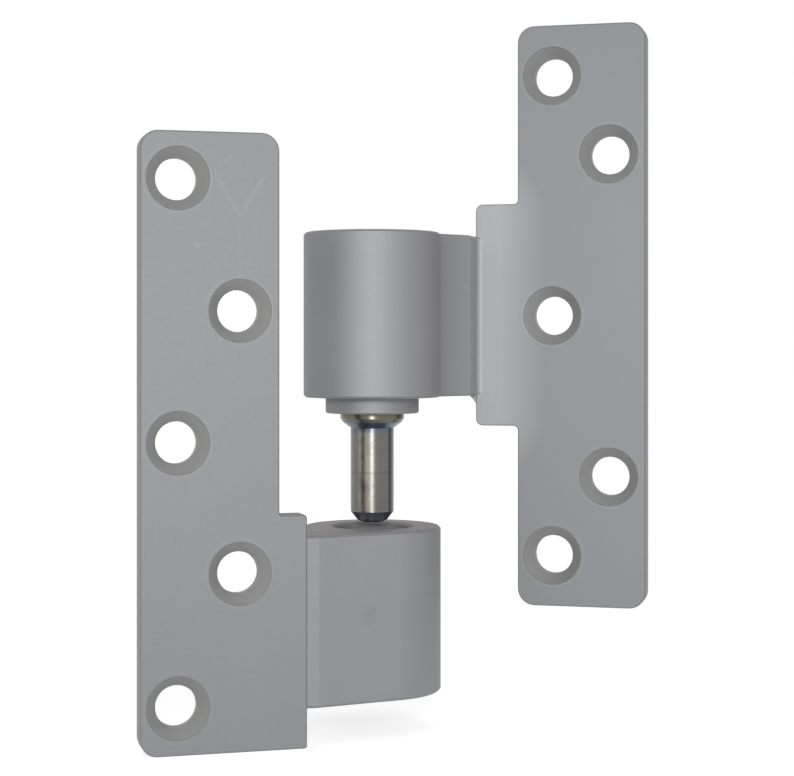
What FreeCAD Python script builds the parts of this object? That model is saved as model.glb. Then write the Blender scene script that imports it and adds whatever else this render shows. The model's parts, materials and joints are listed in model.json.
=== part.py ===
# Offset pivot hinge for a swing door: two painted castings, a turned pin and a caged roller bearing.
# Millimetres, +Z up. The origin is the middle of the jamb leaf's back face, +Y points into the jamb.
# The door half is lifted off below the pin and stands at its rest angle, as it is shown apart.

import FreeCAD, Part
import math
import os

import Sketcher

DIMENSIONS = [
    ("leaf_thickness", 5.0),
    ("screw_hole_diameter", 8.8),
    ("countersink_diameter", 13.3),
    ("countersink_angle", 82.0),
    ("round_corner", 3.8),
    ("square_corner", 0.6),
    ("door_tab_corner", 0.9),
    ("jamb_tab_corner", 1.6),
    ("jamb_tab_root", 1.0),
    ("leaf_edge_break", 0.3),
    ("casting_edge_break", 0.5),
    ("door_leaf_height", 128.6),
    ("door_leaf_width", 29.1),
    ("door_tab_width", 5.9),
    ("door_tab_height", 49.0),
    ("door_face_offset", 19.05),
    ("door_edge_offset", 19.05),
    ("door_outer_column", 7.85),
    ("door_inner_column", 20.8),
    ("door_outer_spread", 109.0),
    ("door_inner_spread", 54.5),
    ("knuckle_diameter", 30.4),
    ("knuckle_bottom", 8.2),
    ("knuckle_height", 36.2),
    ("neck_recess", 0.6),
    ("neck_width", 2.7),
    ("mouth_chamfer", 0.5),
    ("pin_well_diameter", 11.0),
    ("pin_well_depth", 2.8),
    ("jamb_leaf_height", 132.2),
    ("jamb_leaf_width", 29.2),
    ("jamb_tab_width", 9.8),
    ("jamb_tab_bottom", 40.9),
    ("jamb_tab_height", 50.8),
    ("jamb_face_offset", 20.6),
    ("jamb_edge_offset", 19.05),
    ("jamb_near_column", 7.9),
    ("jamb_far_column", 20.85),
    ("jamb_near_spread", 109.2),
    ("jamb_far_spread", 73.0),
    ("barrel_diameter", 30.4),
    ("barrel_bottom", 47.9),
    ("barrel_height", 36.4),
    ("boss_diameter", 20.7),
    ("boss_height", 3.5),
    ("arm_wall_inset", 0.25),
    ("arm_wall_radius", 1.4),
    ("arm_shoulder", 6.6),
    ("arm_front_angle", 56.0),
    ("gusset_width", 1.6),
    ("gusset_height", 2.0),
    ("gusset_depth", 3.0),
    ("pin_diameter", 9.6),
    ("pin_reach", 24.0),
    ("pin_grip", 26.0),
    ("pin_point_length", 2.3),
    ("pin_point_inset", 1.8),
    ("collar_diameter", 14.15),
    ("collar_height", 1.6),
    ("collar_cone", 1.7),
    ("pin_edge_break", 0.4),
    ("ring_wall", 1.55),
    ("ring_chamfer", 0.3),
    ("bearing_length", 19.05),
    ("cup_wall", 0.78),
    ("cup_lip", 1.15),
    ("roller_count", 14),
    ("roller_diameter", 1.5875),
    ("roller_length", 14.0),
    ("cage_wall", 0.85),
    ("cage_length", 17.0),
    ("pin_clearance", 0.05),
    ("roller_clearance", 0.02),
    ("pocket_clearance", 0.05),
    ("ring_floor_gap", 0.1),
    ("seated_gap", 1.6),
    ("collar_clearance", 1.5),
    ("lifted_gap", 1.0),
    ("rest_angle", 30.0),
]

OVERLAP = 1.0
SAME_PLACE = 1e-3
XY, XZ = "XY_Plane", "XZ_Plane"

doc = FreeCAD.newDocument("pivot_hinge")
sheet = doc.addObject("Spreadsheet::Sheet", "sizes")
for row, (word, number) in enumerate(DIMENSIONS, start=1):
    sheet.set(f"A{row}", word)
    sheet.set(f"B{row}", str(number))
    sheet.setAlias(f"B{row}", word)
doc.recompute()
pieces = []


def size(word):
    """A driving dimension, read from the sheet."""
    return float(getattr(sheet, word))


def value(formula):
    """The number that a formula on the sheet's words gives now."""
    return float(sheet.evalExpression(spelled(formula)))


def spelled(formula):
    """The formula with each driving dimension named by its sheet."""
    words = {word for word, number in DIMENSIONS}
    out, word = "", ""
    for letter in formula + " ":
        if letter.isalnum() or letter == "_":
            word += letter
            continue
        out += f"sizes.{word}" if word in words else word
        out += letter
        word = ""
    return out.strip()


def new_body(name):
    """An empty body for one piece, named as its file will be."""
    body = doc.addObject("PartDesign::Body", name)
    body.Label = name
    pieces.append(body)
    return body


def new_sketch(body, name, role, offset="0"):
    """A sketch on one of the body's own planes, moved along the plane's normal."""
    sketch = body.newObject("Sketcher::SketchObject", name)
    plane = next(part for part in body.Origin.OriginFeatures if part.Role == role)
    sketch.AttachmentSupport = (plane, [""])
    sketch.MapMode = "FlatFace"
    sketch.setExpression("AttachmentOffset.Base.z", spelled(offset))
    return sketch


def hold(sketch, kind, where, formula):
    """A constraint whose value follows the sheet."""
    index = sketch.addConstraint(Sketcher.Constraint(kind, *where, value(formula)))
    sketch.renameConstraint(index, f"{kind.lower()}_{index}")
    sketch.setExpression(f"Constraints.{kind.lower()}_{index}", spelled(formula))


def polygon(sketch, corners):
    """A closed outline of straight edges, with every corner held by two formulas."""
    places = [(value(across), value(up)) for across, up in corners]
    count = len(places)
    for here in range(count):
        start = FreeCAD.Vector(*places[here], 0)
        end = FreeCAD.Vector(*places[(here + 1) % count], 0)
        sketch.addGeometry(Part.LineSegment(start, end), False)
    for here in range(count):
        sketch.addConstraint(Sketcher.Constraint("Coincident", here, 2, (here + 1) % count, 1))
    for here, (across, up) in enumerate(corners):
        hold(sketch, "DistanceX", (here, 1), across)
        hold(sketch, "DistanceY", (here, 1), up)


def circle(sketch, across, up, radius):
    """A circle whose centre and radius are held by formulas."""
    centre = FreeCAD.Vector(value(across), value(up), 0)
    round_line = Part.Circle(centre, FreeCAD.Vector(0, 0, 1), value(radius))
    index = sketch.addGeometry(round_line, False)
    hold(sketch, "DistanceX", (index, 3), across)
    hold(sketch, "DistanceY", (index, 3), up)
    hold(sketch, "Radius", (index,), radius)


def pad(body, sketch, name, length, reverse=False):
    """The sketch's outline raised to a length."""
    feature = body.newObject("PartDesign::Pad", name)
    feature.Profile = sketch
    feature.setExpression("Length", spelled(length))
    feature.Reversed = reverse
    doc.recompute()
    return feature


def turned(body, sketch, name, kind="PartDesign::Revolution"):
    """The sketch's outline turned a full circle about the body's own Z."""
    feature = body.newObject(kind, name)
    feature.Profile = sketch
    feature.ReferenceAxis = (sketch, ["V_Axis"])
    feature.Angle = 360
    doc.recompute()
    return feature


def broken(body, name, width, chosen):
    """Breaks the sharp edges of the body's present shape that a test picks."""
    base = body.Tip
    edges = [f"Edge{number}" for number, edge in enumerate(base.Shape.Edges, 1) if chosen(edge)]
    feature = body.newObject("PartDesign::Chamfer", name)
    feature.Base = (base, edges)
    feature.setExpression("Size", spelled(width))
    doc.recompute()
    return feature


def on_level(axis, *levels):
    """A test for edges that lie wholly at one of the levels along an axis (0, 1 or 2)."""

    def test(edge):
        ends = edge.BoundBox
        low = (ends.XMin, ends.YMin, ends.ZMin)[axis]
        high = (ends.XMax, ends.YMax, ends.ZMax)[axis]
        return any(abs(low - level) < SAME_PLACE and abs(high - level) < SAME_PLACE for level in levels)

    return test


def turn_between(start, end):
    """The angles of two directions, the second made the larger."""
    low = math.atan2(start.y, start.x)
    high = math.atan2(end.y, end.x)
    return low, high if high > low else high + 2 * math.pi


def leaf_outline(sketch, corners):
    """A leaf's outline of level and upright edges, each corner (across, up, radius)."""
    places = [(value(across), value(up)) for across, up, radius in corners]
    radii = [value(radius) for across, up, radius in corners]
    count = len(corners)

    def toward(here, there, run):
        (ax, ay), (bx, by) = places[here], places[there]
        length = math.hypot(bx - ax, by - ay)
        return FreeCAD.Vector(ax + (bx - ax) * run / length, ay + (by - ay) * run / length, 0)

    for here in range(count):
        there = (here + 1) % count
        start = toward(here, there, radii[here])
        end = toward(there, here, radii[there])
        sketch.addGeometry(Part.LineSegment(start, end), False)
    for here in range(count):
        before = (here - 1) % count
        first = toward(here, before, radii[here])
        last = toward(here, (here + 1) % count, radii[here])
        centre = first + last - FreeCAD.Vector(*places[here], 0)
        outward = (first - centre).cross(last - centre).z > 0
        start, end = (first, last) if outward else (last, first)
        low, high = turn_between(start - centre, end - centre)
        whole = Part.Circle(centre, FreeCAD.Vector(0, 0, 1), radii[here])
        arc = sketch.addGeometry(Part.ArcOfCircle(whole, low, high), False)
        enters = 1 if outward else 2
        sketch.addConstraint(Sketcher.Constraint("Tangent", before, 2, arc, enters))
        sketch.addConstraint(Sketcher.Constraint("Tangent", here, 1, arc, 3 - enters))
        hold(sketch, "Radius", (arc,), corners[here][2])
    for here in range(count):
        across, up, radius = corners[here]
        upright = abs(places[here][0] - places[(here + 1) % count][0]) < SAME_PLACE
        sketch.addConstraint(Sketcher.Constraint("Vertical" if upright else "Horizontal", here))
        if upright:
            hold(sketch, "DistanceX", (here, 1), across)
        else:
            hold(sketch, "DistanceY", (here, 1), up)


def countersunk_holes(body, sketch, name):
    """Screw holes through the leaf, countersunk from the sketch's side."""
    doc.recompute()
    feature = body.newObject("PartDesign::Hole", name)
    feature.Profile = sketch
    doc.recompute()
    feature.ThreadType = "None"
    feature.DepthType = "ThroughAll"
    feature.setExpression("Diameter", spelled("screw_hole_diameter"))
    feature.HoleCutType = "Countersink"
    feature.HoleCutCustomValues = True
    feature.setExpression("HoleCutDiameter", spelled("countersink_diameter"))
    feature.setExpression("HoleCutCountersinkAngle", spelled("countersink_angle"))
    doc.recompute()
    return feature


def place(piece, x, y, z, turn):
    """Turns a piece about the pivot axis and sets it in the hinge's frame."""
    spin = FreeCAD.Rotation(FreeCAD.Vector(0, 0, 1), turn)
    piece.Placement = FreeCAD.Placement(FreeCAD.Vector(x, y, z), spin)


# Formulas that several pieces share.
DOOR_EDGE = "door_edge_offset"
DOOR_STEP = "(door_edge_offset + door_tab_width)"
DOOR_OUTER = "(door_edge_offset + door_tab_width + door_leaf_width)"
DOOR_BACK = "(door_face_offset - leaf_thickness)"
KNUCKLE_TOP = "(knuckle_bottom + knuckle_height)"
BEARING_RECESS = "(collar_height + collar_cone + collar_clearance - seated_gap)"
CUP_BOTTOM = f"({KNUCKLE_TOP} - {BEARING_RECESS} - bearing_length)"
JAMB_STEP = "(jamb_edge_offset + jamb_tab_width)"
JAMB_OUTER = "(jamb_edge_offset + jamb_tab_width + jamb_leaf_width)"
JAMB_BACK = "(jamb_face_offset + leaf_thickness)"
ARM_WALL = "(jamb_edge_offset + arm_wall_inset)"
BARREL_TOP = "(barrel_bottom + barrel_height)"
BOSS_BOTTOM = "(barrel_bottom - boss_height)"
RING_BORE = "(pin_diameter / 2 + pin_clearance)"
RING_OUTER = f"({RING_BORE} + ring_wall)"
ROLLER_PITCH = f"({RING_OUTER} + roller_clearance + roller_diameter / 2)"
CUP_BORE = f"({ROLLER_PITCH} + roller_diameter / 2 + roller_clearance)"
CUP_OUTER = f"({CUP_BORE} + cup_wall)"


def door_leaf():
    """The door casting: a mortised leaf, a necked arm and the knuckle that holds the bearing."""
    body = new_body("door_leaf")

    arm = new_sketch(body, "arm_plan", XY, "knuckle_bottom")
    radius = size("knuckle_diameter") / 2
    edge = -size("door_edge_offset")
    root = edge - OVERLAP
    back = -value(DOOR_BACK)
    front = -value("door_face_offset - neck_recess")
    neck = edge + size("neck_width")
    front_touch = tangent_point(neck, front, radius, 1)
    back_touch = tangent_point(edge, back, radius, -1)
    far_side = FreeCAD.Vector(radius, 0, 0)
    corners = [(edge, back), (root, back), (root, front), (neck, front)]
    path = [FreeCAD.Vector(x, y, 0) for x, y in corners]
    for start, end in zip(path, path[1:]):
        arm.addGeometry(Part.LineSegment(start, end), False)
    arm.addGeometry(Part.LineSegment(path[3], front_touch), False)
    arm.addGeometry(Part.Arc(front_touch, far_side, back_touch), False)
    arm.addGeometry(Part.LineSegment(back_touch, path[0]), False)
    for here in range(3):
        arm.addConstraint(Sketcher.Constraint("Coincident", here, 2, here + 1, 1))
    arm.addConstraint(Sketcher.Constraint("Coincident", 5, 2, 0, 1))
    arm.addConstraint(Sketcher.Constraint("Coincident", 4, 3, -1, 1))
    arm.addConstraint(Sketcher.Constraint("Tangent", 3, 2, 4, 1))
    arm.addConstraint(Sketcher.Constraint("Tangent", 4, 2, 5, 1))
    hold(arm, "Radius", (4,), "knuckle_diameter / 2")
    hold(arm, "DistanceX", (0, 1), f"-{DOOR_EDGE}")
    hold(arm, "DistanceY", (0, 1), f"-{DOOR_BACK}")
    hold(arm, "DistanceX", (1, 1), f"-{DOOR_EDGE} - {OVERLAP}")
    hold(arm, "DistanceY", (1, 1), f"-{DOOR_BACK}")
    hold(arm, "DistanceX", (2, 1), f"-{DOOR_EDGE} - {OVERLAP}")
    hold(arm, "DistanceY", (2, 1), "-(door_face_offset - neck_recess)")
    hold(arm, "DistanceX", (3, 1), f"-{DOOR_EDGE} + neck_width")
    hold(arm, "DistanceY", (3, 1), "-(door_face_offset - neck_recess)")
    pad(body, arm, "knuckle_and_arm", "knuckle_height")
    ends = on_level(2, size("knuckle_bottom"), value(KNUCKLE_TOP))
    broken(body, "knuckle_edges", "casting_edge_break", ends)

    outline = new_sketch(body, "leaf_outline", XZ, "door_face_offset")
    leaf_outline(
        outline,
        [
            (f"-{DOOR_OUTER}", "0", "round_corner"),
            (f"-{DOOR_EDGE}", "0", "square_corner"),
            (f"-{DOOR_EDGE}", "door_tab_height", "door_tab_corner"),
            (f"-{DOOR_STEP}", "door_tab_height", "square_corner"),
            (f"-{DOOR_STEP}", "door_leaf_height", "round_corner"),
            (f"-{DOOR_OUTER}", "door_leaf_height", "round_corner"),
        ],
    )
    pad(body, outline, "leaf", "leaf_thickness", reverse=True)
    faces = on_level(1, -size("door_face_offset"))
    broken(body, "leaf_edges", "leaf_edge_break", faces)

    holes = new_sketch(body, "screw_centres", XZ, "door_face_offset")
    middle = "door_leaf_height / 2"
    for up in ("-door_outer_spread / 2", "0", "door_outer_spread / 2"):
        circle(holes, f"-{DOOR_OUTER} + door_outer_column", f"{middle} + ({up})", "screw_hole_diameter / 2")
    for up in ("-door_inner_spread / 2", "door_inner_spread / 2"):
        circle(holes, f"-{DOOR_OUTER} + door_inner_column", f"{middle} + ({up})", "screw_hole_diameter / 2")
    countersunk_holes(body, holes, "screw_holes")

    bore = new_sketch(body, "socket_profile", XZ)
    well = "pin_well_diameter / 2"
    polygon(
        bore,
        [
            ("0", f"{CUP_BOTTOM} - pin_well_depth"),
            (well, f"{CUP_BOTTOM} - pin_well_depth"),
            (well, CUP_BOTTOM),
            (CUP_OUTER, CUP_BOTTOM),
            (CUP_OUTER, f"{KNUCKLE_TOP} - mouth_chamfer"),
            (f"{CUP_OUTER} + mouth_chamfer", KNUCKLE_TOP),
            (f"{CUP_OUTER} + mouth_chamfer", f"{KNUCKLE_TOP} + {OVERLAP}"),
            ("0", f"{KNUCKLE_TOP} + {OVERLAP}"),
        ],
    )
    turned(body, bore, "socket", "PartDesign::Groove")


def tangent_point(x, y, radius, side):
    """Where the line from a point touches the circle about the pivot axis."""
    reach = math.hypot(x, y)
    angle = math.atan2(y, x) + side * math.acos(radius / reach)
    return FreeCAD.Vector(radius * math.cos(angle), radius * math.sin(angle), 0)


def jamb_leaf():
    """The jamb casting: a mortised leaf, a shouldered arm, the barrel and its boss."""
    body = new_body("jamb_leaf")

    arm = new_sketch(body, "arm_plan", XY, "barrel_bottom")
    radius = size("barrel_diameter") / 2
    edge = size("jamb_edge_offset")
    wall = edge + size("arm_wall_inset")
    face = size("jamb_face_offset")
    hollow = size("arm_wall_radius")
    shoulder = face - size("arm_shoulder")
    back = value(JAMB_BACK)
    front_start = line_meets_circle(wall, shoulder, math.radians(size("arm_front_angle")), radius)
    back_touch = tangent_point(edge, back, radius, 1)
    far_side = FreeCAD.Vector(-radius, 0, 0)
    root = wall + hollow
    corners = [(wall, shoulder), (wall, face - hollow), (root, face), (root, back), (edge, back)]
    path = [FreeCAD.Vector(x, y, 0) for x, y in corners]
    bend = FreeCAD.Vector(root, face - hollow, 0)
    halfway = bend + FreeCAD.Vector(-1, 1, 0).normalize() * hollow
    arm.addGeometry(Part.LineSegment(front_start, path[0]), False)
    arm.addGeometry(Part.LineSegment(path[0], path[1]), False)
    arm.addGeometry(Part.Arc(path[1], halfway, path[2]), False)
    arm.addGeometry(Part.LineSegment(path[2], path[3]), False)
    arm.addGeometry(Part.LineSegment(path[3], path[4]), False)
    arm.addGeometry(Part.LineSegment(path[4], back_touch), False)
    arm.addGeometry(Part.Arc(back_touch, far_side, front_start), False)
    arm.addConstraint(Sketcher.Constraint("Coincident", 0, 2, 1, 1))
    arm.addConstraint(Sketcher.Constraint("Tangent", 1, 2, 2, 2))
    arm.addConstraint(Sketcher.Constraint("Coincident", 2, 1, 3, 1))
    arm.addConstraint(Sketcher.Constraint("Coincident", 3, 2, 4, 1))
    arm.addConstraint(Sketcher.Constraint("Coincident", 4, 2, 5, 1))
    arm.addConstraint(Sketcher.Constraint("Coincident", 6, 2, 0, 1))
    arm.addConstraint(Sketcher.Constraint("Coincident", 6, 3, -1, 1))
    arm.addConstraint(Sketcher.Constraint("Tangent", 5, 2, 6, 1))
    hold(arm, "Radius", (6,), "barrel_diameter / 2")
    hold(arm, "Radius", (2,), "arm_wall_radius")
    hold(arm, "DistanceX", (1, 1), ARM_WALL)
    hold(arm, "DistanceY", (1, 1), "jamb_face_offset - arm_shoulder")
    hold(arm, "DistanceX", (1, 2), ARM_WALL)
    hold(arm, "DistanceY", (1, 2), "jamb_face_offset - arm_wall_radius")
    hold(arm, "DistanceX", (3, 1), f"{ARM_WALL} + arm_wall_radius")
    hold(arm, "DistanceX", (4, 1), f"{ARM_WALL} + arm_wall_radius")
    hold(arm, "DistanceY", (4, 1), JAMB_BACK)
    hold(arm, "DistanceX", (5, 1), "jamb_edge_offset")
    hold(arm, "DistanceY", (5, 1), JAMB_BACK)
    angle = arm.addConstraint(Sketcher.Constraint("Angle", 0, math.radians(size("arm_front_angle"))))
    arm.renameConstraint(angle, "front_angle")
    arm.setExpression("Constraints.front_angle", "sizes.arm_front_angle * 1 deg")
    pad(body, arm, "barrel_and_arm", "barrel_height")
    ends = on_level(2, size("barrel_bottom"), value(BARREL_TOP))
    broken(body, "barrel_edges", "casting_edge_break", ends)

    boss = new_sketch(body, "boss_plan", XY, f"{BOSS_BOTTOM}")
    circle(boss, "0", "0", "boss_diameter / 2")
    pad(body, boss, "boss", f"boss_height + {OVERLAP}")
    broken(body, "boss_edge", "leaf_edge_break", on_level(2, value(BOSS_BOTTOM)))

    outline = new_sketch(body, "leaf_outline", XZ, "-jamb_face_offset")
    tab_top = "(jamb_tab_bottom + jamb_tab_height)"
    leaf_outline(
        outline,
        [
            (f"{JAMB_STEP}", "0", "round_corner"),
            (f"{JAMB_OUTER}", "0", "round_corner"),
            (f"{JAMB_OUTER}", "jamb_leaf_height", "round_corner"),
            (f"{JAMB_STEP}", "jamb_leaf_height", "round_corner"),
            (f"{JAMB_STEP}", tab_top, "jamb_tab_root"),
            ("jamb_edge_offset", tab_top, "jamb_tab_corner"),
            ("jamb_edge_offset", "jamb_tab_bottom", "jamb_tab_corner"),
            (f"{JAMB_STEP}", "jamb_tab_bottom", "jamb_tab_root"),
        ],
    )
    pad(body, outline, "leaf", "leaf_thickness", reverse=True)
    on_face = on_level(1, face)
    arm_low = size("barrel_bottom") - SAME_PLACE
    arm_high = value(BARREL_TOP) + SAME_PLACE

    def on_rim(edge):
        """Whether an edge of the leaf's face is on its outline, and not where the arm grows out."""
        ends = edge.BoundBox
        beside_arm = arm_low < ends.ZMin and ends.ZMax < arm_high and ends.XMax < value(JAMB_STEP)
        return on_face(edge) and not beside_arm

    broken(body, "leaf_edges", "leaf_edge_break", on_rim)

    gusset = new_sketch(body, "gusset_profile", XZ, "-(jamb_face_offset + neck_recess)")
    polygon(
        gusset,
        [
            ("jamb_edge_offset - gusset_width", "barrel_bottom"),
            ("jamb_edge_offset", "barrel_bottom - gusset_height"),
            (f"jamb_edge_offset + {OVERLAP}", "barrel_bottom - gusset_height"),
            (f"jamb_edge_offset + {OVERLAP}", f"barrel_bottom + {OVERLAP}"),
            ("jamb_edge_offset - gusset_width", f"barrel_bottom + {OVERLAP}"),
        ],
    )
    pad(body, gusset, "gusset", "gusset_depth", reverse=True)

    holes = new_sketch(body, "screw_centres", XZ, "-jamb_face_offset")
    middle = "jamb_leaf_height / 2"
    for up in ("-jamb_near_spread / 2", "0", "jamb_near_spread / 2"):
        circle(holes, f"{JAMB_STEP} + jamb_near_column", f"{middle} + ({up})", "screw_hole_diameter / 2")
    for up in ("-jamb_far_spread / 2", "jamb_far_spread / 2"):
        circle(holes, f"{JAMB_STEP} + jamb_far_column", f"{middle} + ({up})", "screw_hole_diameter / 2")
    countersunk_holes(body, holes, "screw_holes")

    bore = new_sketch(body, "pin_bore_profile", XZ)
    polygon(
        bore,
        [
            ("0", f"{BOSS_BOTTOM} - {OVERLAP}"),
            ("pin_diameter / 2", f"{BOSS_BOTTOM} - {OVERLAP}"),
            ("pin_diameter / 2", f"{BOSS_BOTTOM} + pin_grip"),
            ("0", f"{BOSS_BOTTOM} + pin_grip"),
        ],
    )
    turned(body, bore, "pin_bore", "PartDesign::Groove")


def line_meets_circle(x, y, angle, radius):
    """Where a line that leaves a point backwards at an angle meets the circle about the axis."""
    along = FreeCAD.Vector(math.cos(angle), math.sin(angle), 0)
    start = FreeCAD.Vector(x, y, 0)
    middle = start.dot(along)
    reach = middle - math.sqrt(middle**2 - start.dot(start) + radius**2)
    return start - along * reach


def pivot_pin():
    """The pin: one turned bar with a collar that stops against the boss."""
    body = new_body("pivot_pin")
    profile = new_sketch(body, "pin_profile", XZ)
    tip = f"({BOSS_BOTTOM} - pin_reach)"
    collar = f"({BOSS_BOTTOM} - collar_height)"
    end = "(pin_diameter / 2 - pin_point_inset)"
    point_run = "(pin_edge_break * pin_point_inset / pin_point_length)"
    cone_run = "(pin_edge_break * (collar_diameter - pin_diameter) / 2 / collar_cone)"
    polygon(
        profile,
        [
            ("0", tip),
            (f"{end} - pin_edge_break", tip),
            (f"{end} + {point_run}", f"{tip} + pin_edge_break"),
            ("pin_diameter / 2", f"{tip} + pin_point_length"),
            ("pin_diameter / 2", f"{collar} - collar_cone"),
            (f"collar_diameter / 2 - {cone_run}", f"{collar} - pin_edge_break"),
            ("collar_diameter / 2", f"{collar} + pin_edge_break"),
            ("collar_diameter / 2", BOSS_BOTTOM),
            ("pin_diameter / 2", BOSS_BOTTOM),
            ("pin_diameter / 2", f"{BOSS_BOTTOM} + pin_grip"),
            ("0", f"{BOSS_BOTTOM} + pin_grip"),
        ],
    )
    turned(body, profile, "pin")


def inner_ring():
    """The hardened ring that the pin slides into, and that the rollers run on."""
    body = new_body("inner_ring")
    profile = new_sketch(body, "ring_profile", XZ)
    low = f"({CUP_BOTTOM} + ring_floor_gap)"
    high = f"({CUP_BOTTOM} + bearing_length)"
    polygon(
        profile,
        [
            (RING_BORE, low),
            (RING_OUTER, low),
            (RING_OUTER, high),
            (f"{RING_BORE} + ring_chamfer", high),
            (RING_BORE, f"{high} - ring_chamfer"),
        ],
    )
    turned(body, profile, "ring")


def bearing_cup():
    """The drawn steel cup that is pressed into the knuckle, with a lip at each end."""
    body = new_body("bearing_cup")
    profile = new_sketch(body, "cup_profile", XZ)
    low = CUP_BOTTOM
    high = f"({CUP_BOTTOM} + bearing_length)"
    lip = f"({CUP_BORE} - cup_lip)"
    polygon(
        profile,
        [
            (lip, low),
            (CUP_OUTER, low),
            (CUP_OUTER, high),
            (lip, high),
            (lip, f"{high} - cup_wall"),
            (CUP_BORE, f"{high} - cup_wall"),
            (CUP_BORE, f"{low} + cup_wall"),
            (lip, f"{low} + cup_wall"),
        ],
    )
    turned(body, profile, "cup")


def roller_cage():
    """The cage that spaces the rollers: a thin ring with a slot for each."""
    body = new_body("roller_cage")
    inner = f"({ROLLER_PITCH} - cage_wall / 2)"
    outer = f"({ROLLER_PITCH} + cage_wall / 2)"
    middle = f"({CUP_BOTTOM} + bearing_length / 2)"
    profile = new_sketch(body, "cage_profile", XZ)
    polygon(
        profile,
        [
            (inner, f"{middle} - cage_length / 2"),
            (outer, f"{middle} - cage_length / 2"),
            (outer, f"{middle} + cage_length / 2"),
            (inner, f"{middle} + cage_length / 2"),
        ],
    )
    turned(body, profile, "cage_ring")
    slot = new_sketch(body, "pocket_outline", "YZ_Plane")
    wide = "(roller_diameter / 2 + pocket_clearance)"
    tall = "(roller_length / 2 + pocket_clearance)"
    polygon(
        slot,
        [
            (f"-{wide}", f"{middle} - {tall}"),
            (wide, f"{middle} - {tall}"),
            (wide, f"{middle} + {tall}"),
            (f"-{wide}", f"{middle} + {tall}"),
        ],
    )
    pocket = body.newObject("PartDesign::Pocket", "pocket")
    pocket.Profile = slot
    pocket.Type = "Length"
    pocket.setExpression("Length", spelled(f"{outer} + {OVERLAP}"))
    pocket.Reversed = True
    doc.recompute()
    pattern = body.newObject("PartDesign::PolarPattern", "pockets")
    pattern.Originals = [pocket]
    pattern.Axis = (profile, ["V_Axis"])
    pattern.Angle = 360
    pattern.Occurrences = int(size("roller_count"))
    body.Tip = pattern
    doc.recompute()


def needle_rollers():
    """The rollers, each a separate ground bar, evenly spaced round the ring."""
    count = int(size("roller_count"))
    low = value(f"{CUP_BOTTOM} + bearing_length / 2 - roller_length / 2")
    for number in range(count):
        name = f"needle_roller_{number + 1:02d}"
        roller = doc.addObject("Part::Cylinder", name)
        roller.Label = name
        roller.setExpression("Radius", spelled("roller_diameter / 2"))
        roller.setExpression("Height", spelled("roller_length"))
        angle = math.radians(size("rest_angle")) + 2 * math.pi * number / count
        pitch = value(ROLLER_PITCH)
        roller.Placement.Base = FreeCAD.Vector(pitch * math.cos(angle), pitch * math.sin(angle), low)
        pieces.append(roller)


door_leaf()
jamb_leaf()
pivot_pin()
inner_ring()
bearing_cup()
roller_cage()
needle_rollers()
doc.recompute()

# The jamb half stands in the frame as it is fixed; the door half hangs below the pin's point.
axis_x = -value(f"{JAMB_STEP} + jamb_leaf_width / 2")
axis_y = -value(JAMB_BACK)
jamb_z = -size("jamb_leaf_height") / 2
door_z = jamb_z + value(f"{BOSS_BOTTOM} - pin_reach - lifted_gap - {KNUCKLE_TOP}")
for piece in pieces:
    if piece.Label in ("jamb_leaf", "pivot_pin"):
        place(piece, axis_x, axis_y, jamb_z, 0)
    elif piece.Label.startswith("needle_roller"):
        piece.Placement.Base += FreeCAD.Vector(axis_x, axis_y, door_z)
    else:
        place(piece, axis_x, axis_y, door_z, size("rest_angle"))
doc.recompute()

for item in doc.Objects:
    if {"Invalid", "Error"} & set(item.State):
        raise RuntimeError(f"{item.Name} failed to build")
os.makedirs("parts", exist_ok=True)
for piece in pieces:
    if piece.Shape.isNull() or not piece.Shape.isValid():
        raise RuntimeError(f"{piece.Label} has no sound shape")
    piece.Shape.exportStep(f"parts/{piece.Label}.step")
    box = piece.Shape.BoundBox
    print(f"{piece.Label:18s} {piece.Shape.Volume:10.1f} mm3  z {box.ZMin:8.2f} to {box.ZMax:8.2f}")
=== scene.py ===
import json
import math

import bpy
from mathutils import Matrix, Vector


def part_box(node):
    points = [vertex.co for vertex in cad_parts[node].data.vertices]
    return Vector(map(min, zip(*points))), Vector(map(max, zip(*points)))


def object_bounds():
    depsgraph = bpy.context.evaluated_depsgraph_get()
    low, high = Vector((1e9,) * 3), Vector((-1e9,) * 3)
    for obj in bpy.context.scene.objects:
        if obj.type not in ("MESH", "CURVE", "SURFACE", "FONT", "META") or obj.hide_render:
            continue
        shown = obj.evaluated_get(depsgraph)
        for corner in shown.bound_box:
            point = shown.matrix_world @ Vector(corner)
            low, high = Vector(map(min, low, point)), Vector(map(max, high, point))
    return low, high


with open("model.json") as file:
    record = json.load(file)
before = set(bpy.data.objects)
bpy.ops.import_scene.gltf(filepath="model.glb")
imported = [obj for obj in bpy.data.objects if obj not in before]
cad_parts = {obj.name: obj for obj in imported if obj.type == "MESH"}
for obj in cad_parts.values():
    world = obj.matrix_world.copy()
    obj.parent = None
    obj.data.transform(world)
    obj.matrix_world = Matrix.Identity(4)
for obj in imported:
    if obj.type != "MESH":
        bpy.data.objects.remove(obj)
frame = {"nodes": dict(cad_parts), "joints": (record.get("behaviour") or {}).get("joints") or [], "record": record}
cad_low, cad_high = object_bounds()
scene = bpy.context.scene
nodes = frame["nodes"]


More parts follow.
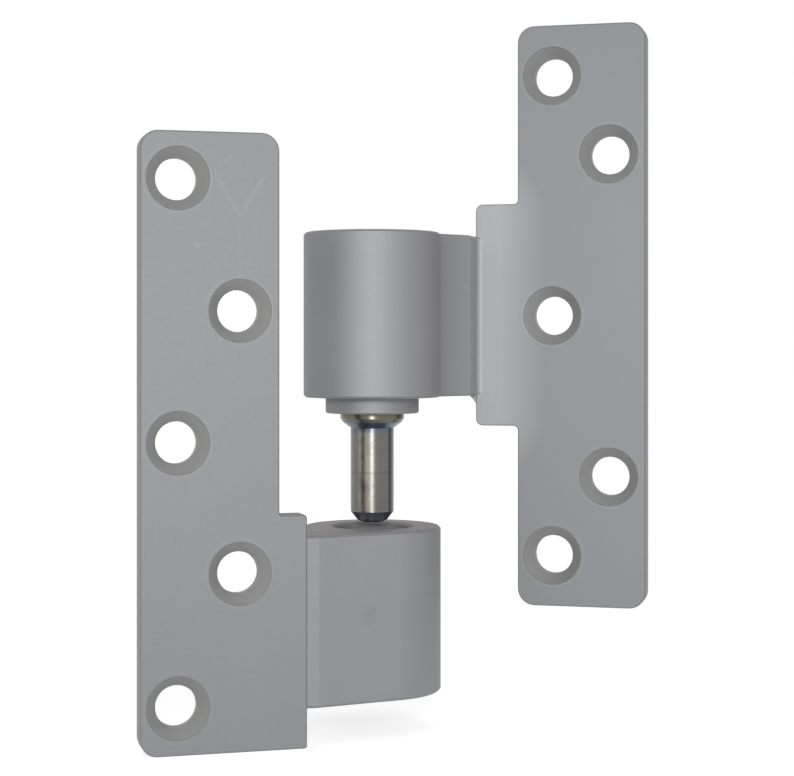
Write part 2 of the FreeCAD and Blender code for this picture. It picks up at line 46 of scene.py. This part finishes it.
# The camera stands level with the gap between the halves, turned to look between the two leaves' faces.
# Its lens and distance give each half the photograph's perspective.
swing = next(joint for joint in frame["joints"] if joint["name"] == "swing")
axis_x, axis_y = swing["pos_m"][0], swing["pos_m"][1]
VIEW_TURN = math.radians(14.5)
EYE_DISTANCE = 0.4126
EYE_HEIGHT = -0.006
AXIS_LEFT_OF_EYE = 0.0055
EYE_ABOVE_MIDDLE_PX = 46
FOCAL_PX = 1860
PHOTO_WIDTH = 794
SENSOR_MM = 36
bpy.ops.object.select_all(action="DESELECT")
toward_eye = Vector((math.sin(VIEW_TURN), -math.cos(VIEW_TURN), 0))
to_right = Vector((math.cos(VIEW_TURN), math.sin(VIEW_TURN), 0))
aim = Vector((axis_x, axis_y, EYE_HEIGHT)) + to_right * AXIS_LEFT_OF_EYE
bpy.ops.object.camera_add(location=aim + toward_eye * EYE_DISTANCE)
camera = bpy.context.object
camera.name = "camera"
camera.rotation_euler = (math.pi / 2, 0, VIEW_TURN)
camera.data.sensor_width = SENSOR_MM
camera.data.lens = FOCAL_PX / PHOTO_WIDTH * SENSOR_MM
camera.data.clip_start = 0.01
camera.data.clip_end = 20
camera.data.shift_y = -EYE_ABOVE_MIDDLE_PX / PHOTO_WIDTH
scene.camera = camera
scene.view_settings.view_transform = "Standard"


# Shader maths is written on this wrapper of a socket: an expression adds the nodes that work it out.
# The two castings' paint is the first material that needs it.
class Signal:
    """An output socket that takes part in sums."""

    def __init__(self, tree, socket):
        self.tree = tree
        self.socket = socket

    def node(self, kind, settings=None, output=0, **inputs):
        """A new node's output. Its inputs are named in words, or input_0 and so on where names repeat."""
        made = self.tree.nodes.new(kind)
        for word, setting in (settings or {}).items():
            setattr(made, word, setting)
        for word, given in inputs.items():
            if word.startswith("input_"):
                socket = made.inputs[int(word[6:])]
            else:
                socket = made.inputs[word.replace("_", " ")]
            if isinstance(given, Signal):
                self.tree.links.new(given.socket, socket)
            else:
                socket.default_value = given
        return Signal(self.tree, made.outputs[output])

    def maths(self, operation, other=0.0, swapped=False):
        first, second = (other, self) if swapped else (self, other)
        return self.node("ShaderNodeMath", {"operation": operation}, input_0=first, input_1=second)

    def vector(self, operation, other=(0, 0, 0), output=0):
        settings = {"operation": operation}
        return self.node("ShaderNodeVectorMath", settings, output, input_0=self, input_1=other)

    def __add__(self, other):
        return self.maths("ADD", other)

    def __sub__(self, other):
        return self.maths("SUBTRACT", other)

    def __rsub__(self, other):
        return self.maths("SUBTRACT", other, swapped=True)

    def __mul__(self, other):
        return self.maths("MULTIPLY", other)

    def __truediv__(self, other):
        return self.maths("DIVIDE", other)

    __radd__ = __add__
    __rmul__ = __mul__

    def clamped(self):
        made = self + 0.0
        made.socket.node.use_clamp = True
        return made

    def between(self, low, high):
        """0 below low, 1 above high, and straight between."""
        return ((self - low) / (high - low)).clamped()

    def blend(self, low, high):
        """Colour low where this is 0 and high where it is 1."""
        return self.node("ShaderNodeMix", {"data_type": "RGBA"}, 2, input_0=self, input_6=low, input_7=high)

    def noise(self, scale, detail=3.0, roughness=0.5):
        return self.node("ShaderNodeTexNoise", Vector=self, Scale=scale, Detail=detail, Roughness=roughness)


def new_finish(name):
    """A material, its principled shader, and where a point of the surface is."""
    material = bpy.data.materials.new(name)
    material.use_nodes = True
    shader = material.node_tree.nodes["Principled BSDF"]
    where = material.node_tree.nodes.new("ShaderNodeTexCoord")
    return material, shader, Signal(material.node_tree, where.outputs["Object"])


def way_faced(place):
    """Which way the surface faces at a point."""
    return Signal(place.tree, place.socket.node.outputs["Normal"])


def feed(shader, word, signal):
    """Links a signal to one of the shader's sockets."""
    signal.tree.links.new(signal.socket, shader.inputs[word])


def dress(node, material):
    """Gives a CAD node its finish."""
    node.data.materials.clear()
    node.data.materials.append(material)


# Both castings are sprayed satin silver grey over ground faces. The paint has a fine metallic grain and slow
# changes of tone. It builds up in a faint ring round each countersink, and is warmer inside it. Painted shade
# darkens the leaf's flat face, and a painted reflection tints the faces turned edgeways and those that look up or
# down.
PAINT = (0.270, 0.277, 0.290, 1)
PAINT_LIGHT = (0.292, 0.298, 0.308, 1)
PAINTED_EDGEWAYS_REFLECTION = (0.292, 0.268, 0.279, 1)
PAINTED_SHADE_UP_AND_DOWN = (0.250, 0.220, 0.231, 1)
PAINTED_SHADE_ON_LEAF = (0.246, 0.253, 0.266, 1)
PAINT_IN_SINK = (0.330, 0.328, 0.326, 1)
PAINT_SCORED_AND_PAINTED_LIGHT = (0.39, 0.395, 0.405, 1)
PAINT_TOUCHED = (0.225, 0.228, 0.235, 1)
SINK_RADIUS = 0.00665
RING_RADIUS = 0.0071
RING_HALF_WIDTH = 0.00045
HOLE_TO_LEAF_FACE = 0.0038
LEAF_FACE_SURE = 0.0002
LEAF_FACE_LOST = 0.0005
LEAF_SHADE_SHARE = 0.8
EDGEWAYS_REFLECTION_SHARE = 0.5
UP_AND_DOWN_SHADE_SHARE = 0.6
RING_SHARE = 0.12
STREAKY_BELOW = 0.003
CLOUD_SCALE = 28.0
GRAIN_SCALE = 2600.0
SWELL_SCALE = 700.0
STREAK_SCALE = 900.0
RING_BREAK_SCALE = 140.0
PAINT_ROUGHNESS = 0.62
GRAIN_ROUGHNESS = 0.12


def screw_holes(half):
    """The middle of each screw hole of one half, and the way that its countersink faces."""
    holes = []
    for mount in frame["record"]["mounts"]:
        if mount["name"].startswith(half + "_screw"):
            dims = mount["dims"]
            reach = dims.get("spacing_y_mm", dims.get("pcd_mm", 0)) / 2000
            for rise in sorted({-reach, reach}):
                holes.append((Vector(mount["pos_m"]) + Vector((0, 0, rise)), Vector(mount["axis"])))
    return holes


def from_axis(place, middle, axis):
    """How far a point is from an axis."""
    return place.vector("SUBTRACT", middle).vector("CROSS_PRODUCT", axis).vector("LENGTH", output=1)


def from_line(place, start, end):
    """How far a point is from the straight line between two places."""
    along = (end - start).normalized()
    offset = place.vector("SUBTRACT", start)
    reached = offset.vector("DOT_PRODUCT", along, output=1)
    reached = reached.maths("MAXIMUM", 0.0).maths("MINIMUM", (end - start).length)
    return offset.vector("SUBTRACT", reached.vector("MULTIPLY", along)).vector("LENGTH", output=1)


def silver_paint(half, marks):
    """The paint of one half. Each mark is a line's two ends, its half width, its strength and its colour."""
    material, shader, place = new_finish(half + "_silver_paint")
    facing = way_faced(place)
    holes = screw_holes(half)
    cloud = place.noise(CLOUD_SCALE)
    grain = place.noise(GRAIN_SCALE, 2.0, 0.6)
    hole_radius = from_axis(place, *holes[0])
    for hole in holes[1:]:
        hole_radius = hole_radius.maths("MINIMUM", from_axis(place, *hole))
    outward = facing.vector("DOT_PRODUCT", holes[0][1], output=1)
    on_front = outward.between(-0.5, -0.3)
    in_sink = (1 - hole_radius.between(SINK_RADIUS * 0.96, SINK_RADIUS)) * on_front
    off_ring = (hole_radius - RING_RADIUS).maths("ABSOLUTE") / RING_HALF_WIDTH
    broken = place.noise(RING_BREAK_SCALE).between(0.35, 0.6)
    ring = (1 - off_ring).clamped() * broken * on_front
    edgeways_reflection_mask = 1 - outward.maths("ABSOLUTE").between(0.15, 0.75)
    ahead = place.vector("SUBTRACT", holes[0][0]).vector("DOT_PRODUCT", holes[0][1], output=1)
    off_leaf_face = (ahead - HOLE_TO_LEAF_FACE).maths("ABSOLUTE")
    on_leaf = 1 - off_leaf_face.between(LEAF_FACE_SURE, LEAF_FACE_LOST)
    tone = cloud.between(0.3, 0.7).blend(PAINT, PAINT_LIGHT)
    # Painted shade: the leaf's flat face is made darker than the knuckle and barrel.
    tone = (on_leaf * LEAF_SHADE_SHARE).blend(tone, PAINTED_SHADE_ON_LEAF)
    # Painted reflection: faces turned edgeways get a mauve tint.
    tone = (edgeways_reflection_mask * EDGEWAYS_REFLECTION_SHARE).blend(tone, PAINTED_EDGEWAYS_REFLECTION)
    # Painted shade and reflection: faces that look up or down are darker and mauve.
    up_and_down_shade_mask = facing.vector("DOT_PRODUCT", (0, 0, 1), output=1).maths("ABSOLUTE").between(0.6, 0.95)
    tone = (up_and_down_shade_mask * UP_AND_DOWN_SHADE_SHARE).blend(tone, PAINTED_SHADE_UP_AND_DOWN)
    tone = in_sink.blend(tone, PAINT_IN_SINK)
    tone = (ring * RING_SHARE).blend(tone, PAINT_SCORED_AND_PAINTED_LIGHT)
    streaks = place.noise(STREAK_SCALE).between(0.25, 0.6)
    for start, end, half_width, strength, shade in marks:
        near = 1 - from_line(place, start, end).between(half_width * 0.3, half_width)
        if half_width < STREAKY_BELOW:
            near = near * streaks
        tone = (near * on_front * strength).blend(tone, shade)
    feed(shader, "Base Color", tone)
    feed(shader, "Roughness", grain * GRAIN_ROUGHNESS + PAINT_ROUGHNESS)
    shader.inputs["Metallic"].default_value = 0.85
    height = grain + place.noise(SWELL_SCALE, 1.0) * 0.8 + ring * 9.0
    feed(shader, "Normal", place.node("ShaderNodeBump", Height=height, Strength=0.14, Distance=0.00002))
    return material


# The door half's casting is one piece: its screw leaf, and the knuckle that holds the bearing in a bore.
# Handling has scored pale lines in a V near the top of the leaf, and left a dull touch on the knuckle's flat.
door_face = next(mount for mount in frame["record"]["mounts"] if mount["name"] == "door_face")
door_low, door_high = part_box("door_leaf")
leaf_middle = Vector(door_face["pos_m"])
leaf_out = -Vector(door_face["axis"])
leaf_across = Vector((-leaf_out.y, leaf_out.x, 0))
LEAF_THICKNESS = 0.005
leaf_half_width = (leaf_middle.x - door_low[0]) / leaf_across.x
leaf_corner = leaf_middle + leaf_out * LEAF_THICKNESS - leaf_across * leaf_half_width
leaf_corner.z = door_high[2]
KNUCKLE_TOUCH = Vector((-0.0395, -0.0421, -0.0647))
TOUCH_LENGTH = Vector((0, 0, 0.001))
TOUCH_HALF_WIDTH = 0.0024
TOUCH_STRENGTH = 0.35
SCORE_HALF_WIDTH = 0.00055
# Each score's start and end, across the leaf and down from its top corner, and its strength.
SCORES_MM = [
    (15.4, 8.4, 20.6, 17.2, 0.15),
    (25.5, 9.7, 21.2, 16.6, 0.22),
    (17.8, 6.0, 18.8, 5.3, 0.24),
    (11.6, 23.3, 11.9, 23.5, 0.22),
    (22.2, 26.8, 22.5, 27.0, 0.18),
    (20.6, 17.2, 20.6, 33.5, 0.05),
]
touch_end = KNUCKLE_TOUCH + TOUCH_LENGTH
door_marks = [(KNUCKLE_TOUCH, touch_end, TOUCH_HALF_WIDTH, TOUCH_STRENGTH, PAINT_TOUCHED)]
for across, down, next_across, next_down, strength in SCORES_MM:
    start = leaf_corner + leaf_across * across / 1000 - Vector((0, 0, down / 1000))
    end = leaf_corner + leaf_across * next_across / 1000 - Vector((0, 0, next_down / 1000))
    door_marks.append((start, end, SCORE_HALF_WIDTH, strength, PAINT_SCORED_AND_PAINTED_LIGHT))
dress(nodes["door_leaf"], silver_paint("door", door_marks))


# The jamb half's casting is one piece too: its screw leaf, the arm, and the barrel that holds the pin.
# A painted pool of light lies on the tab beside the arm, and a pale fleck stands on the arm's front.
FLECK_START = Vector((-0.02525, -0.01320, 0.0069))
FLECK_END = Vector((-0.02500, -0.01285, 0.0062))
FLECK_HALF_WIDTH = 0.0004
FLECK_STRENGTH = 0.9
PAINTED_LIGHT_START = Vector((-0.0235, -0.005, 0.0235))
PAINTED_LIGHT_END = Vector((-0.0235, -0.005, -0.0235))
PAINTED_LIGHT_HALF_WIDTH = 0.0150
PAINTED_LIGHT_STRENGTH = 0.85
jamb_marks = [
    # The first mark is painted light: a broad pale pool on the tab beside the arm.
    (PAINTED_LIGHT_START, PAINTED_LIGHT_END, PAINTED_LIGHT_HALF_WIDTH, PAINTED_LIGHT_STRENGTH, PAINT_SCORED_AND_PAINTED_LIGHT),
    (FLECK_START, FLECK_END, FLECK_HALF_WIDTH, FLECK_STRENGTH, PAINT_SCORED_AND_PAINTED_LIGHT),
]
dress(nodes["jamb_leaf"], silver_paint("jamb", jamb_marks))


# The pin is one bar of bright steel, turned, left bare and pressed up into the barrel. The tool leaves fine
# rings on it. Its collar keeps a thin olive film, its cone and point carry a painted blue reflection, and a
# painted warm brown reflection, which also brightens the highlight's edge, lies down its front.
# Heights are from the point upwards.
BARE_STEEL = (0.165, 0.162, 0.153, 1)
PAINTED_BROWN_REFLECTION = (0.365, 0.330, 0.290, 1)
OLIVE_FILM = (0.165, 0.159, 0.115, 1)
PAINTED_BLUE_REFLECTION = (0.125, 0.150, 0.190, 1)
PAINTED_BLUE_REFLECTION_ON_POINT = (0.215, 0.245, 0.295, 1)
DARK_RING = (0.09, 0.085, 0.075, 1)
POINT_TOP = 0.0023
CONE_BOTTOM = 0.0203
COLLAR_BOTTOM = 0.0224
SHARP_EDGE = 0.0002
BLUE_FADE = 0.0010
RING_RISE = 0.0110
RING_CORE = 0.00008
RING_REACH = 0.00035
PAINTED_REFLECTION_TOWARDS = Vector((-0.096, -0.995, 0))
TURNED_SCALE = 900.0
MOTTLE_SCALE = 1100.0
WANDER_SCALE = 400.0
WANDER_HEIGHT = 0.0008
PIN_ROUGHNESS = 0.155
MOTTLE_ROUGHNESS = 0.30
TURNED_ROUGHNESS = 0.06
pin_steel, shader, place = new_finish("pin_steel")
pin_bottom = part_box("pivot_pin")[0][2]
rise = place.node("ShaderNodeSeparateXYZ", output=2, Vector=place) - pin_bottom
banded = {"bands_direction": "Z"}
rings = place.node("ShaderNodeTexWave", banded, output=1, Vector=place, Scale=TURNED_SCALE, Distortion=1.5)
mottle = place.noise(MOTTLE_SCALE, 4.0, 0.65)
wander = place.noise(WANDER_SCALE) * WANDER_HEIGHT - WANDER_HEIGHT / 2
level = rise + wander
# Painted reflection: a warm brown band on the side facing PAINTED_REFLECTION_TOWARDS, also brightening the
# highlight's edge.
toward_painted_reflection = way_faced(place).vector("DOT_PRODUCT", PAINTED_REFLECTION_TOWARDS, output=1).between(0.93, 0.985)
painted_brown_reflection = toward_painted_reflection * place.noise(260.0).between(0.25, 0.6)
ring_line = 1 - (rise - RING_RISE).maths("ABSOLUTE").between(RING_CORE, RING_REACH)
tone = (painted_brown_reflection * (mottle + 0.5).clamped()).blend(BARE_STEEL, PAINTED_BROWN_REFLECTION)
tone = (ring_line * mottle * 0.6).blend(tone, DARK_RING)
# Painted reflection: the cone and the point are tinted dark blue, as if they reflected dark surroundings.
painted_cone_reflection = level.between(CONE_BOTTOM - BLUE_FADE, CONE_BOTTOM + SHARP_EDGE)
point = 1 - level.between(POINT_TOP - 0.0001, POINT_TOP + 0.0003)
tone = point.blend(tone, PAINTED_BLUE_REFLECTION_ON_POINT)
tone = painted_cone_reflection.blend(tone, PAINTED_BLUE_REFLECTION)
collar = level.between(COLLAR_BOTTOM - SHARP_EDGE, COLLAR_BOTTOM + SHARP_EDGE)
tone = collar.blend(tone, OLIVE_FILM)
feed(shader, "Base Color", tone)
rough = rings * TURNED_ROUGHNESS + mottle * MOTTLE_ROUGHNESS + PIN_ROUGHNESS
feed(shader, "Roughness", rough)
shader.inputs["Metallic"].default_value = 1
shader.inputs["Anisotropic"].default_value = 0.75
shader.inputs["Anisotropic Rotation"].default_value = 0.25
turned = rings * 0.4 + mottle * 4.0
feed(shader, "Normal", place.node("ShaderNodeBump", Height=turned, Strength=0.3, Distance=0.00002))
dress(nodes["pivot_pin"], pin_steel)


# The bearing's cup is drawn from thin steel strip and pressed into the knuckle's bore, its lips rolled in.
# Drawing leaves it satin, with faint marks along its length.
DRAWN_SCALES = (2400.0, 2400.0, 120.0)
cup_steel, shader, place = new_finish("drawn_cup_steel")
drawn = place.vector("MULTIPLY", DRAWN_SCALES).noise(1.0, 2.0)
shader.inputs["Base Color"].default_value = (0.46, 0.455, 0.44, 1)
shader.inputs["Metallic"].default_value = 1
feed(shader, "Roughness", drawn * 0.2 + 0.28)
feed(shader, "Normal", place.node("ShaderNodeBump", Height=drawn, Strength=0.1, Distance=0.00001))
dress(nodes["bearing_cup"], cup_steel)


# The inner ring is hardened steel, ground bright inside and out. The pin runs in it.
# The wheel leaves fine rings round it.
GROUND_SCALES = (150.0, 150.0, 3000.0)
ring_steel, shader, place = new_finish("ground_ring_steel")
ground = place.vector("MULTIPLY", GROUND_SCALES).noise(1.0, 2.0)
shader.inputs["Base Color"].default_value = (0.58, 0.58, 0.57, 1)
shader.inputs["Metallic"].default_value = 1
feed(shader, "Roughness", ground * 0.12 + 0.2)
feed(shader, "Normal", place.node("ShaderNodeBump", Height=ground, Strength=0.08, Distance=0.00001))
dress(nodes["inner_ring"], ring_steel)


# The cage is rolled up from strip with a slot for each roller, and keeps its dull grey treatment.
# It floats between the cup's lips and carries the fourteen rollers round.
CAGE_DULL = (0.16, 0.155, 0.145, 1)
CAGE_PALE = (0.21, 0.205, 0.195, 1)
cage_steel, shader, place = new_finish("dull_cage_strip")
bloom = place.noise(500.0)
feed(shader, "Base Color", bloom.between(0.3, 0.7).blend(CAGE_DULL, CAGE_PALE))
shader.inputs["Metallic"].default_value = 1
feed(shader, "Roughness", bloom * 0.2 + 0.4)
dress(nodes["roller_cage"], cage_steel)


# Each needle roller is through-hardened wire, ground and polished, with flat ends.
# All of them share one finish.
roller_steel, shader, place = new_finish("polished_roller_steel")
polish = place.noise(3500.0, 2.0)
shader.inputs["Base Color"].default_value = (0.66, 0.66, 0.65, 1)
shader.inputs["Metallic"].default_value = 1
feed(shader, "Roughness", polish * 0.08 + 0.1)
for name, node in nodes.items():
    if name.startswith("needle_roller"):
        dress(node, roller_steel)


# The floor is a pale sheet under the door leaf. The world is a plain soft studio light.
# To the eye, and in what metal reflects, both are white.
FLOOR_SIDE = 6.0
FLOOR_GLOW = 0.55


def seen_whole(signal):
    """1 for what the eye sees, straight or in a reflection, and 0 for what only lights the object."""
    rays = signal.tree.nodes.new("ShaderNodeLightPath").outputs
    kinds = ("Is Camera Ray", "Is Glossy Ray", "Is Transmission Ray")
    eye, glossy, clear = (Signal(signal.tree, rays[kind]) for kind in kinds)
    return (eye + glossy + clear).clamped()


bpy.ops.mesh.primitive_plane_add(size=FLOOR_SIDE, location=(axis_x, axis_y, cad_low.z))
floor = bpy.context.object
floor.name = "floor"
floor_paint, shader, place = new_finish("floor_white")
shader.inputs["Base Color"].default_value = (0.9, 0.9, 0.9, 1)
shader.inputs["Roughness"].default_value = 0.9
shader.inputs["Emission Color"].default_value = (1, 1, 1, 1)
feed(shader, "Emission Strength", seen_whole(place) * FLOOR_GLOW)
floor.data.materials.append(floor_paint)

SKY_LEVEL = 0.5
world = bpy.data.worlds.new("studio")
scene.world = world
world.use_nodes = True
tree = world.node_tree
sky = tree.nodes["Background"]
level = seen_whole(Signal(tree, sky.outputs[0])) * (1 - SKY_LEVEL) + SKY_LEVEL
tree.links.new(level.socket, sky.inputs["Strength"])
sky.inputs["Color"].default_value = (1, 1, 1, 1)

LAMP_POWER = 0.147
LAMP_SIDE = 0.08
LAMP_SPREAD = math.radians(70)
LAMP_ABOVE_EYE = 0.06
lamp_place = camera.location + Vector((0, 0, LAMP_ABOVE_EYE))
bpy.ops.object.light_add(type="AREA", location=lamp_place)
lamp = bpy.context.object
lamp.name = "front_lamp"
lamp.data.size = LAMP_SIDE
lamp.data.energy = LAMP_POWER
lamp.data.spread = LAMP_SPREAD
lamp.rotation_euler = (aim - lamp_place).to_track_quat("-Z", "Y").to_euler()
